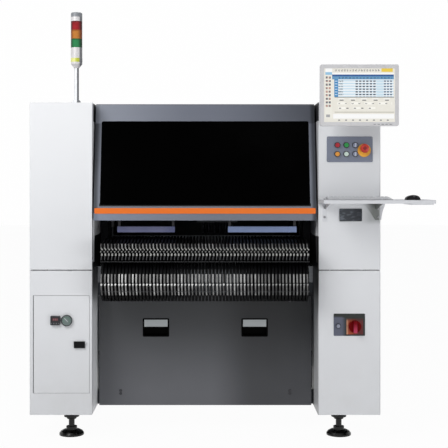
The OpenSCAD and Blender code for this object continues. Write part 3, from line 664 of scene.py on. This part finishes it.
bright = Finish("feeder_bright_metal", metallic=0.3, gloss=0.2)
wear = bright.noise(55.0, 4.0, (1, 1, 0.3)).fade(0.35, 0.7)
by_lane = bright.noise(24.0, 2.0, (1, 0.05, 0.05)).fade(0.36, 0.64)
uneven = bright.noise(31.0, 2.0, (1, 0.05, 0.4)).fade(0.40, 0.60)
# Painted shade: the bright parts darken from the left end of the bank to the right. The catches
# are bright metal with a painted highlight, near-white at the left and greyer at the right.
catch = bright.mix(shade(236, 236, 234), shade(150, 150, 149), bright.x.fade(-200, 480))
bright.colour(bright.layered(
    bright.mix(shade(74, 72, 70), shade(206, 206, 204), by_lane),
    (shade(40, 40, 41), bright.x.fade(-480, 480) * 0.28),
    (shade(24, 24, 25), (bright.z > 904) * 0.55),
    (shade(160, 160, 157), bright.z.between(870, 912)),
    (shade(78, 78, 80), bright.z.between(840, 873)),
    (shade(96, 96, 98), bright.z.between(708.4, 711.6)),
    (shade(46, 46, 47), (bright.z < 736) * (0.75 - uneven * 0.75)),
    (catch, bright.z.between(737, 751)),
    (shade(84, 84, 86), wear * 0.45)))
bright.rough(wear * 0.22 + 0.26)
bright.bumps(bright.noise(240.0, 2.0, (1, 1, 0.2)), 0.00010)

plastic = Finish("reel_plastic", gloss=0.08)
reel_cloud = plastic.noise(18.0, 3.0)
lane_tone = plastic.noise(1.0, 0.0, (37, 0.01, 0.01)).fade(0.42, 0.58)
plastic.colour(plastic.layered(shade(12, 12, 13), (shade(44, 43, 42), lane_tone),
                               (shade(30, 30, 31), reel_cloud * 0.3)))
plastic.rough(reel_cloud * 0.15 + 0.38)
plastic.bumps(plastic.noise(260.0), 0.00008)

sway = np.random.default_rng(11).uniform(-1.0, 1.0, feeder_count)
bank = piece("feeder_mouldings", [shape for x in bank_x for shape in feeder_moulding(x)],
             black, "feeder_black", sharp=25)
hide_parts("feeder_bank")
piece("feeder_guides", [shape for x, wave in zip(bank_x, sway) for shape in feeder_metal(x, wave)],
      bright, "feeder_black", sharp=40)
piece("feeder_reels", [shape for x in bank_x for shape in reel_shapes(x)],
      plastic, "reel_clear", sharp=40)

loose = piece("loose_feeder_moulding", feeder_moulding(loose_x), black, "feeder_black",
              "feeder", sharp=25)
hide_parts("feeder_loose")
piece("loose_feeder_guides", feeder_metal(loose_x, sway[loose_number]), bright, "feeder_black",
      "feeder")
loose_reel = piece("loose_feeder_reel", reel_shapes(loose_x, 48), plastic, "reel_clear",
                   "reel", sharp=40)
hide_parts("feeder_loose_reel")

# ---- Operator console ----
# A blue-grey plate on the right tower holds four lit push buttons, two selector knobs and the
# emergency stop with its yellow collar. Lower down a dark plate carries the mains isolator on
# a yellow square. The caps are glossy mouldings, the plates are painted sheet.


def moulding(name, colour, roughness=0.3, grain=300.0, glow=0.0, gloss=0.45):
    """Moulded plastic: cloudy tone, faint scratches in the roughness and a fine spark-eroded
    grain. A lit cap also glows a little in its own colour."""
    cap = Finish(name, gloss, glow=glow)
    cloud = cap.noise(30.0, 3.0)
    scratches = cap.noise(70.0, 4.0, (1, 1, 0.15)).fade(0.55, 0.75)
    cap.colour(cap.layered(toned(colour, 0.90), (toned(colour, 1.08), cloud),
                           (toned(colour, 0.75), scratches * 0.25)))
    cap.rough(cloud * 0.12 + (roughness - 0.06) + scratches * 0.12)
    cap.bumps(cap.noise(grain), 0.00006)
    if glow:
        cap.glow(cap.laid())
    return cap


console = powder_coat("console_paint", shade(126, 132, 148), box_mm("operator_panel"), 0.4)
stop_x, stop_z, collar_z, collar_radius = 747.0, 1370.0, 1361.0, 31.8
from_x, from_z = console.x - stop_x, console.z - collar_z
near_stop = (from_x * from_x + from_z * from_z) < collar_radius * collar_radius
raised = console.y < -3.6
console.colour(console.layered(
    console.mix(shade(118, 124, 140), shade(130, 136, 152), console.noise(9.0, 3.0)),
    (shade(58, 59, 62), raised * (1 - near_stop)),
    (console.mix(shade(240, 166, 52), shade(250, 190, 74), console.noise(40.0)),
     raised * near_stop)))
dress(console, "operator_panel")

for name, tone in (("red", shade(168, 30, 46)), ("green", shade(34, 140, 66)),
                   ("orange", shade(216, 146, 60)), ("white", shade(196, 212, 202))):
    dress(moulding("cap_" + name, tone, glow=0.08), "button_" + name)
knob = moulding("knob_grey", shade(150, 155, 176))
knob.colour(knob.mix(knob.laid(), shade(196, 201, 216), knob.y < -9.2))
dress(knob, "selector_upper", "selector_lower")

stop = moulding("stop_red", shade(198, 50, 34), 0.28)
rosette = (abs(stop.x - stop_x) + abs(stop.z - stop_z)) < 10.5
stop.colour(stop.mix(stop.laid(), shade(128, 8, 18), rosette * (stop.y < -27.5)))
dress(stop, "emergency_stop")

isolator = powder_coat("isolator_paint", shade(88, 92, 100), box_mm("switch_plate"), 0.4)
raised = isolator.y < -2.6
yellow_zone = raised * (abs(isolator.x - 703) < 40) * (abs(isolator.z - 535) < 40)
button_zone = raised * (isolator.x < 645)
yellow = isolator.layered(
    shade(196, 142, 112),
    (isolator.mix(shade(150, 58, 30), shade(170, 78, 44), isolator.noise(25.0, 3.0)),
     isolator.x.fade(667, 675)),
    (shade(96, 32, 32), isolator.x.fade(690, 722)),
    (shade(48, 34, 30), isolator.z.fade(554, 574)))
button_tone = isolator.mix(shade(46, 48, 56), shade(140, 144, 160), isolator.y < -8.6)
isolator.colour(isolator.layered(
    isolator.mix(shade(84, 88, 104), shade(96, 100, 116), isolator.noise(9.0, 3.0)),
    (shade(34, 38, 36), isolator.x.fade(638, 666) + isolator.z.fade(572, 584)),
    (yellow, yellow_zone),
    (button_tone, button_zone)))
dress(isolator, "switch_plate")

handle = moulding("handle_red", shade(120, 16, 20), gloss=0.06)
lever_tone = handle.mix(shade(184, 66, 92), shade(116, 10, 20), handle.z.fade(512, 556))
handle.colour(handle.layered(
    handle.mix(shade(98, 2, 4), shade(122, 8, 12), handle.noise(30.0, 3.0)),
    (lever_tone, handle.y < -15.5)))
dress(handle, "main_switch_handle")

screw_head = [(0, 2.2), (2.2, 2.1), (3.0, 1.2), (3.2, 0)]
piece("console_screws", [turned_shape(screw_head, (x, -3.05, z), steps=14)
                         for x in (579, 780) for z in (1314, 1418)],
      metal("console_screws", shade(150, 151, 154), 0.3, (1, 1, 0.2)), "console_grey")

# ---- Monitor ----
# A flat monitor in a pale moulded casing tilts and swivels on a steel bracket. Its lit screen
# shows the machine's page: a tool row, a list of parts in coloured columns and a row of
# buttons, drawn here with plain bars and no letters.

dress(moulding("monitor_casing", shade(213, 212, 213), 0.42, 240.0), "monitor_housing")
dress(powder_coat("bracket_paint", shade(150, 151, 154), box_mm("monitor_arm"), 0.4),
      "monitor_arm")
dress(powder_coat("bracket_white", shade(226, 227, 229), box_mm("monitor_bracket")),
      "monitor_bracket")

screen_low, screen_high = np.array(box_mm("monitor_screen")).tolist()
screen = Finish("lit_screen", gloss=0.2, glow=0.78)
across = (screen.x - screen_low[0]) * (1 / (screen_high[0] - screen_low[0]))
down = (screen_high[2] - screen.z) * (1 / (screen_high[2] - screen_low[2]))


def bars(wire, pitch, filled, start=0.0):
    """Repeats 1 over the first filled share of each pitch, else 0."""
    return ((wire - start) % pitch) < pitch * filled


def block(left, right, top, bottom, columns=None, lines=None):
    """1 inside a rectangle of the screen, given in shares of its width and height. Columns and
    lines break it into bars, each by a pitch, the share of it filled, and a start."""
    inside = across.between(left, right) * down.between(top, bottom)
    for wire, repeat in ((across, columns), (down, lines)):
        if repeat:
            inside = inside * bars(wire, *repeat)
    return inside


cream, white, ink = shade(243, 240, 231), shade(252, 252, 251), shade(52, 58, 70)
sunk, cells = shade(252, 250, 242), (0.05, 0.5, 0.175)
marks = screen.noise(420.0, 1.0) > 0.50
icons = screen.mix(shade(104, 112, 120), shade(196, 158, 146),
                   screen.noise(90.0, 0.0).fade(0.4, 0.6))
page = screen.layered(
    screen.mix(cream, shade(230, 227, 216), screen.noise(30.0)),
    # the tool row, the bright tab and the heading
    (ink, block(0.14, 0.80, 0.02, 0.055, (0.04, 0.6)) * marks),
    (shade(238, 206, 80), block(0.81, 0.97, 0.0, 0.065)),
    (white, block(0.02, 0.115, 0.0, 0.095)),
    (shade(150, 196, 226), block(0.02, 0.115, 0.07, 0.12)),
    (white, block(0.115, 0.985, 0.083, 0.114)),
    (shade(52, 92, 150), block(0.115, 0.985, 0.114, 0.148)),
    (shade(104, 154, 194), block(0.115, 0.985, 0.148, 0.205)),
    (ink, block(0.21, 0.96, 0.166, 0.19, (0.05, 0.6)) * marks),
    # the list of parts, in coloured columns
    (shade(66, 138, 192), block(0.145, 0.20, 0.205, 0.53)),
    (shade(196, 216, 236), block(0.155, 0.19, 0.21, 0.53, lines=(0.05, 0.35, 0.18))),
    (shade(240, 246, 250), block(0.20, 0.98, 0.205, 0.53)),
    (shade(192, 220, 236), block(0.20, 0.98, 0.205, 0.53, lines=(0.05, 0.35, 0.172))),
    (ink, block(0.205, 0.27, 0.21, 0.50, lines=cells) * marks),
    (shade(84, 92, 104), block(0.44, 0.74, 0.21, 0.53, (0.05, 0.66, 0.445), cells)),
    (shade(206, 228, 240), block(0.74, 0.84, 0.21, 0.53, lines=(0.05, 0.6, 0.18))),
    (shade(96, 110, 130), block(0.84, 0.97, 0.21, 0.53, (0.043, 0.66, 0.845), cells)),
    (shade(150, 152, 150), block(0.15, 0.99, 0.53, 0.545)),
    # the fields and buttons under it
    (white, block(0.20, 0.96, 0.56, 0.575, (0.16, 0.55, 0.2))),
    (ink, block(0.20, 0.96, 0.585, 0.60, (0.16, 0.35, 0.22))),
    (sunk, block(0.17, 0.96, 0.63, 0.70, (0.19, 0.62, 0.19), (0.07, 0.62, 0.63))),
    (ink, block(0.18, 0.90, 0.645, 0.665, (0.095, 0.3, 0.2)) * marks),
    (sunk, block(0.17, 0.80, 0.72, 0.79, (0.21, 0.5, 0.2), (0.07, 0.55, 0.72))),
    (ink, block(0.20, 0.66, 0.735, 0.75, (0.105, 0.3, 0.21))),
    (shade(176, 172, 158), block(0.15, 0.99, 0.81, 0.822)),
    (white, block(0.13, 0.99, 0.85, 0.935)),
    (shade(120, 122, 126), block(0.18, 0.98, 0.955, 0.975, (0.098, 0.28, 0.20))),
    # the column of icons at the left
    (shade(240, 238, 228), block(0.015, 0.11, 0.13, 0.93)),
    (icons, block(0.025, 0.10, 0.15, 0.74, (0.042, 0.72, 0.024), (0.066, 0.62, 0.15))),
    (shade(170, 170, 172), block(0.03, 0.085, 0.86, 0.91)))
screen.colour(screen.mix(page, (0.01, 0.01, 0.01), 0.8))
screen.glow(page)
screen.rough(screen.noise(90.0) * 0.05 + 0.24)
screen.bumps(screen.noise(700.0, 1.0), 0.00001)
dress(screen, "monitor_screen")

monitor_x = middle("monitor_housing")[0]
_, casing_front, casing_foot = box_mm("monitor_housing")[0]
vents = [plate(rounded_box(monitor_x + x - 22, monitor_x + x + 22, z, z + 3, 1.4, 3),
               -88.0, -87.4) for x in (-81, -27, 27, 81) for z in np.arange(1650, 1700, 8.0)]
piece("monitor_vents", vents, moulding("trim_black", shade(24, 24, 26), 0.4), "monitor_grey",
      "monitor")
menu_keys = [plate(rounded_box(x, x + 11, casing_foot + 5.5, casing_foot + 9.0, 1.6, 3),
                   casing_front - 0.8, casing_front) for x in np.arange(770, 860, 18.0)]
piece("monitor_keys", menu_keys, moulding("menu_key_grey", shade(150, 150, 153), 0.4),
      "monitor_grey", "monitor")
bolt_steel = metal("bolt_steel", shade(150, 151, 153), 0.3, (1, 1, 0.3))
bolt_head = [(0, 5.2), (4.2, 5.2), (5.4, 4.2), (5.6, 0)]
piece("bracket_bolts", [turned_shape(bolt_head, (monitor_x + x, -6, z), steps=6)
                        for x in (-36, 36) for z in (1490, 1530, 1570)],
      bolt_steel, "bracket_grey")

# ---- Keyboard tray, keyboard and mouse ----
# A shallow folded tray with a rolled rim sits on two gusseted brackets bolted to the right
# tower. The keyboard is a light grey moulding with separate key caps, the mouse a black one
# with two keys and a wheel.

tray_paint = powder_coat("tray_paint", shade(222, 223, 226), box_mm("keyboard_tray"), 0.40)
# A painted shadow of the tray on the right bracket.
bracket_shadow = tray_paint.x.fade(736, 792) * (1 - tray_paint.x.fade(814, 826))
tray_paint.colour(tray_paint.mix(tray_paint.laid(), shade(116, 119, 115),
                                 bracket_shadow * (tray_paint.z < 1112) * 0.95))
dress(tray_paint, "keyboard_tray")
tray_bolt = [(0, 5.0), (4.4, 5.0), (5.8, 4.0), (6.0, 0)]
piece("tray_bolts", [turned_shape(tray_bolt, (x, -3, z), steps=6)
                     for x, z in ((561, 1048), (561, 1092), (814, 1048), (814, 1086))],
      bolt_steel, "tray_grey")

dress(moulding("keys_light", shade(176, 177, 180), 0.40, 260.0), "keyboard")


def key_caps(rows, left=560, right=842, pitch=19.5, slope=10 / 116):
    """Key caps on the keyboard's sloping bed, each row's widths scaled to the room between left
    and right. Each cap is a frustum, a rectangle on the bed and a smaller one 3.4 mm above it,
    and every point is lifted by the slope times its distance from the front."""
    shapes = []
    for row_number, widths in enumerate(rows):
        centre_y = -198.0 + row_number * pitch
        edges = left + np.concatenate([[0], np.cumsum(widths)]) / sum(widths) * (right - left)
        for start, end in zip(edges[:-1], edges[1:]):
            half = np.array([(-1, -1), (1, -1), (1, 1), (-1, 1)]) * ((end - start) / 2 - 1, 8.6)
            top = half * (1 - 4 / (end - start), 0.78)
            points = np.array([np.c_[half, np.zeros(4)], np.c_[top, np.full(4, 3.4)]])
            points += ((start + end) / 2, centre_y, 1133.4)
            points[:, :, 2] += (points[:, :, 1] + 204) * slope
            shapes.append((points, grid_faces(2, 4, close_columns=True).tolist()
                           + [[0, 1, 2, 3], [4, 5, 6, 7]]))
    return shapes


key_rows = [[1.3, 1.1, 1.1, 5.6, 1.1, 1.1, 1.3, 1, 1, 1], [2.2] + [1] * 10 + [1.6, 1, 1, 1],
            [1.7] + [1] * 11 + [1.1, 1, 1], [1.4] + [1] * 12 + [1.4, 1, 1], [1] * 13 + [1.8, 1, 1],
            [1, 0.9] + [1] * 12 + [0.9, 1, 1]]
piece("key_caps", key_caps(key_rows), moulding("key_cap_grey", shade(190, 191, 194), 0.45, 240.0),
      "keys_grey", "keyboard", soften=0.4)

dress(moulding("mouse_black", shade(16, 16, 18), 0.35, gloss=0.08), "mouse")
mouse_wheel = [(0, -3), (6, -3), (7, -2), (7, 2), (6, 3), (0, 3)]
piece("mouse_wheel", [turned_shape(mouse_wheel, (948, -160, 1145.5), "x", 20)],
      moulding("wheel_grey", shade(70, 70, 74), 0.5, 120.0), "keys_black", "mouse")

# ---- Signal tower ----
# A satin silver pole on a turned foot carries a white-silver body, three stacked lenses with
# ribs moulded round them, and a domed cap. A plain yellow band lies across the body's front.
# A painted reflection darkens the pole's right side, and the right side of the body and of the
# band is painted shade.

tower_x, tower_y, _ = middle("signal_tower")
satin = metal("tower_satin", shade(204, 206, 210), 0.38, (1, 1, 0.05))
cloud = satin.noise(60.0, 3.0, (1, 1, 0.1))
coated = satin.z > 1764
# A painted reflection darkens the pole's right side, and painted shade the body's right edge.
pole_tone = satin.mix(satin.mix(shade(222, 224, 228), shade(240, 241, 242), cloud),
                      shade(96, 98, 102), satin.x.fade(tower_x + 2, tower_x + 5.5))
body_tone = satin.layered(
    satin.mix(shade(206, 203, 204), shade(222, 219, 218), cloud),
    (shade(122, 123, 126), satin.x.fade(tower_x + 15, tower_x + 20)),
    (shade(132, 135, 139), satin.z.fade(2008, 2014)))
satin.colour(satin.mix(pole_tone, body_tone, coated))
satin.join(0.25 - coated * 0.15, satin.shader.inputs["Metallic"])
dress(satin, "signal_tower")

band = Finish("tower_band", gloss=0.4)
# The band is paler at the left as painted light and greys at its right edge as painted shade.
band.colour(band.layered(
    shade(238, 238, 150),
    (shade(192, 200, 66), band.x.fade(tower_x - 8, tower_x + 4)),
    (toned(shade(214, 214, 110), 0.8), band.noise(40.0, 3.0) * 0.3),
    (shade(122, 123, 126), band.x.fade(tower_x + 15, tower_x + 19))))
band.rough(band.noise(90.0) * 0.15 + 0.35)
band.bumps(band.noise(260.0), 0.00008)
band_profile = [(27.4, 1793), (28.0, 1793.6), (28.0, 1811.4), (27.4, 1812)]
piece("tower_band", [turned_shape(band_profile, (tower_x, tower_y, 0), "z", 48)], band,
      "tower_silver")

rib_pitch = 5.3
for name, dark_tone, pale_tone in (("green", shade(4, 40, 18), shade(40, 136, 80)),
                                   ("amber", shade(120, 52, 14), shade(198, 126, 50)),
                                   ("red", shade(50, 4, 8), shade(168, 20, 30))):
    lens = Finish("lens_" + name, gloss=0.22, glow=0.03)
    base = box_mm("signal_lens_" + name)[0].tolist()[2]
    # Painted light in the middle of each lens and along its ribs, painted shade at its sides and
    # near its top.
    ribs = abs(((lens.z - base) % rib_pitch) - rib_pitch / 2) * (2 / rib_pitch)
    inside = (1 - abs(lens.x - tower_x) * (1 / 27.5)).fade(0.04, 0.72)
    inside = inside * (1 - lens.z.fade(base + 31, base + 42) * 0.7)
    glassy = lens.mix(dark_tone, pale_tone, inside * 0.85 + ribs * 0.15)
    lens.colour(lens.mix(glassy, toned(dark_tone, 0.6),
                         lens.noise(25.0, 3.0).fade(0.5, 0.8) * 0.25))
    lens.glow(glassy)
    lens.rough(ribs * 0.1 + 0.3)
    lens.bumps(ribs, 0.0012)
    dress(lens, "signal_lens_" + name)

foot_screw = [(0, 11.5), (3.4, 11.5), (4.6, 10.5), (4.6, 5)]
piece("tower_foot_screws",
      [turned_shape(foot_screw, (tower_x + 29 * math.cos(turn), tower_y + 29 * math.sin(turn),
                                 1586), "z", 6) for turn in np.radians([45, 135, 225, 315])],
      bolt_steel, "tower_silver")

# ---- Service door instruments ----
# The door in the left tower carries a small digital pressure switch, a round pressure gauge in
# a dark rim, and a black paddle latch.

gauge_x, _, gauge_z = middle("pressure_gauge")
dial = Finish("gauge_dial", gloss=0.3)
dx, dz = dial.x - gauge_x, dial.z - gauge_z
squared = dx * dx + dz * dz
radius = squared.math("SQRT", squared)
angle = dz.math("ARCTAN2", dz, dx) * (180 / math.pi)
scale = 1 - (abs(angle + 90) < 40)
face = dial.layered(
    dial.mix(shade(126, 140, 138), shade(98, 110, 108), dial.noise(25.0, 3.0)),
    (shade(34, 40, 40), radius.between(17.0, 20.5) * ((angle % 30.0) < 5.0) * scale * 0.9),
    (shade(40, 130, 80), radius.between(14.0, 15.4) * scale * 0.6),
    (shade(226, 232, 230), (abs(dx + dz) < 1.3) * (dx < 5.0) * (radius < 15.5)))
rim = dial.mix(shade(14, 20, 20), shade(40, 46, 46), dial.noise(60.0))
dial.colour(dial.mix(rim, face, (radius < 22.8) * (dial.y > -12.0)))
dial.rough(dial.noise(60.0) * 0.1 + 0.2)
dial.bumps(dial.noise(200.0), 0.00004)
dress(dial, "pressure_gauge")

switch = moulding("pressure_switch_grey", shade(24, 24, 27), 0.35)
aside, up = switch.x + 702.5, switch.z - 568
digits = (abs(aside) < 12) * (abs(up) < 4.6) * bars(switch.x, 8.0, 0.66, 0.7)
key_dots = (aside % 12.0).between(3.5, 8.5) * (abs(up + 19) < 3)
switch.colour(switch.layered(
    switch.mix(shade(14, 14, 17), shade(34, 34, 38), switch.noise(40.0)),
    (shade(104, 105, 110), key_dots * (switch.y < -12)),
    (switch.mix(shade(58, 20, 28), shade(138, 92, 94), digits),
     (abs(aside) < 14) * (abs(up) < 7) * (switch.y < -13.2))))
dress(switch, "pressure_switch")

dress(moulding("latch_black", shade(3, 3, 5), 0.35, gloss=0.15), "door_latch")

# ---- Blank identification plate ----
# A dark anodised plate is riveted to the right tower under the tray. It is left blank, a
# little worn, and its right half lies in the shade of the tray.

anodised = metal("blank_plate", shade(64, 67, 72), 0.4, (0.05, 1, 1), anodised=True)
worn_patches = anodised.noise(70.0, 3.0, (0.6, 1, 1.6)).fade(0.48, 0.66)
anodised.colour(anodised.layered(anodised.laid(),
                                 (shade(120, 126, 134), worn_patches * 0.5),
                                 (shade(34, 35, 40), anodised.x.fade(655, 740) * 0.7)))
piece("blank_plate", [plate(rounded_box(631, 737, 1028, 1087, 3), -3.8, -3.0)], anodised,
      "switch_grey", soften=0.3)

# ---- Gantry, head and spindles ----
# An anodised cross beam rides the guide rails on two carriages and carries the head, a grey
# painted plate with six steel spindles, their motors and a board camera. The plate's grey and
# the spindles' near-black are painted shade, for where they sit under the hood.

dress(metal("beam_anodised", shade(120, 123, 128), 0.40, (0.05, 1, 1), box_mm("x_beam"), True),
      "x_beam")
# Painted shade: the head and its spindles are darkened where they sit under the hood.
dress(powder_coat("head_paint", shade(112, 115, 120), box_mm("head_carriage"), 0.4),
      "head_carriage")
spindles = ["spindle_%d" % number for number in range(1, 7)]
dress(metal("spindle_steel", shade(40, 41, 45), 0.34, (1, 1, 0.05)), *spindles)

motor_can = [(0, 1254), (12.4, 1254), (12.4, 1262), (11.4, 1264), (11.4, 1322), (10.4, 1324),
             (5, 1324), (5, 1330), (0, 1330)]
piece("spindle_motors", [turned_shape(motor_can, (middle(spindle)[0], 651, 0), "z", 20)
                         for spindle in spindles],
      moulding("motor_black", shade(26, 26, 29), 0.35), "head_white", "head", sharp=30)

# ---- Conveyor, cameras and width screw ----
# Two anodised rails carry the boards on narrow green belts. The far rail runs on two shafts
# and a ground screw. Two upward cameras and a nozzle changer stand in front of them.

dress(metal("rail_anodised", shade(140, 143, 148), 0.38, (0.05, 1, 1), anodised=True),
      "conveyor_fixed_rail", "conveyor_moving_rail")
screw = metal("screw_steel", shade(150, 152, 155), 0.25)
screw.bumps(abs((screw.y % 5.0) - 2.5) * 0.4, 0.0015)
dress(screw, "width_screw")

optics = Finish("camera_black", gloss=0.4)
on_glass = optics.z > 885.4
optics.colour(optics.layered(
    optics.mix(shade(30, 31, 33), shade(48, 49, 52), optics.noise(30.0, 3.0)),
    (shade(20, 26, 48), on_glass)))
optics.rough(0.42 - on_glass * 0.34)
optics.bumps(optics.noise(300.0), 0.00008)
dress(optics, "vision_cameras")

belt = Finish("belt_green", gloss=0.2)
weave = belt.noise(500.0, 1.0, (0.3, 1, 1))
belt.colour(belt.mix(shade(24, 54, 46), shade(44, 88, 72), weave))
belt.rough(weave * 0.15 + 0.6)
belt.bumps(weave, 0.0001)
for side, body, inner in (("fixed", "machine", 580.2), ("moving", "board_rail", 873.8)):
    belts = [prism([(inner, 893), (inner + 6, 893), (inner + 6, 895), (inner, 895)], x, x + 500)
             for x in (-790, -250, 290)]
    piece("board_belt_" + side, belts, belt, "conveyor_alu", body, soften=0.3)

# ---- Filters and mains inlet at the rear ----
# Mats of black foam lie behind the louvres of the rear panel and keep dust off the electronics.
# A black appliance inlet with three flat pins is screwed into the square cut-out.

foam = Finish("filter_foam", gloss=0.1)
pores = foam.noise(700.0, 3.0)
foam.colour(foam.mix(shade(8, 8, 9), shade(44, 44, 46), pores.fade(0.45, 0.75)))
foam.rough(pores * 0.1 + 0.85)
foam.bumps(pores, 0.0012)
piece("louvre_filters", [plate(rounded_box(x - 90, x + 90, 410, 548, 4, 3), 1283, 1289)
                         for x in (-300, 0, 300)], foam, "panel_grey", soften=1.0)


def slab(x_low, x_high, z_low, z_high, y_front, y_back):
    """A plain slab across the machine's rear."""
    return plate([(x_low, z_low), (x_high, z_low), (x_high, z_high), (x_low, z_high)],
                 y_front, y_back)


shell = [plate(rounded_box(360.6, 399.4, 210.6, 241.4, 2, 3), 1276, 1280)]
shell += [slab(*wall, 1279.5, 1293.2)
          for wall in ((360.6, 363.6, 210.6, 241.4), (396.4, 399.4, 210.6, 241.4),
                       (363.6, 396.4, 210.6, 213.6), (363.6, 396.4, 238.4, 241.4))]
piece("mains_inlet_socket", shell, moulding("inlet_black", shade(18, 18, 20), 0.4), "panel_grey")
piece("mains_inlet_pins", [slab(x - 1, x + 1, z - 3, z + 3, 1279, 1290)
                           for x, z in ((371, 223), (380, 230), (389, 223))],
      metal("pin_metal", shade(190, 186, 170), 0.3, (1, 0.2, 1)), "panel_grey")
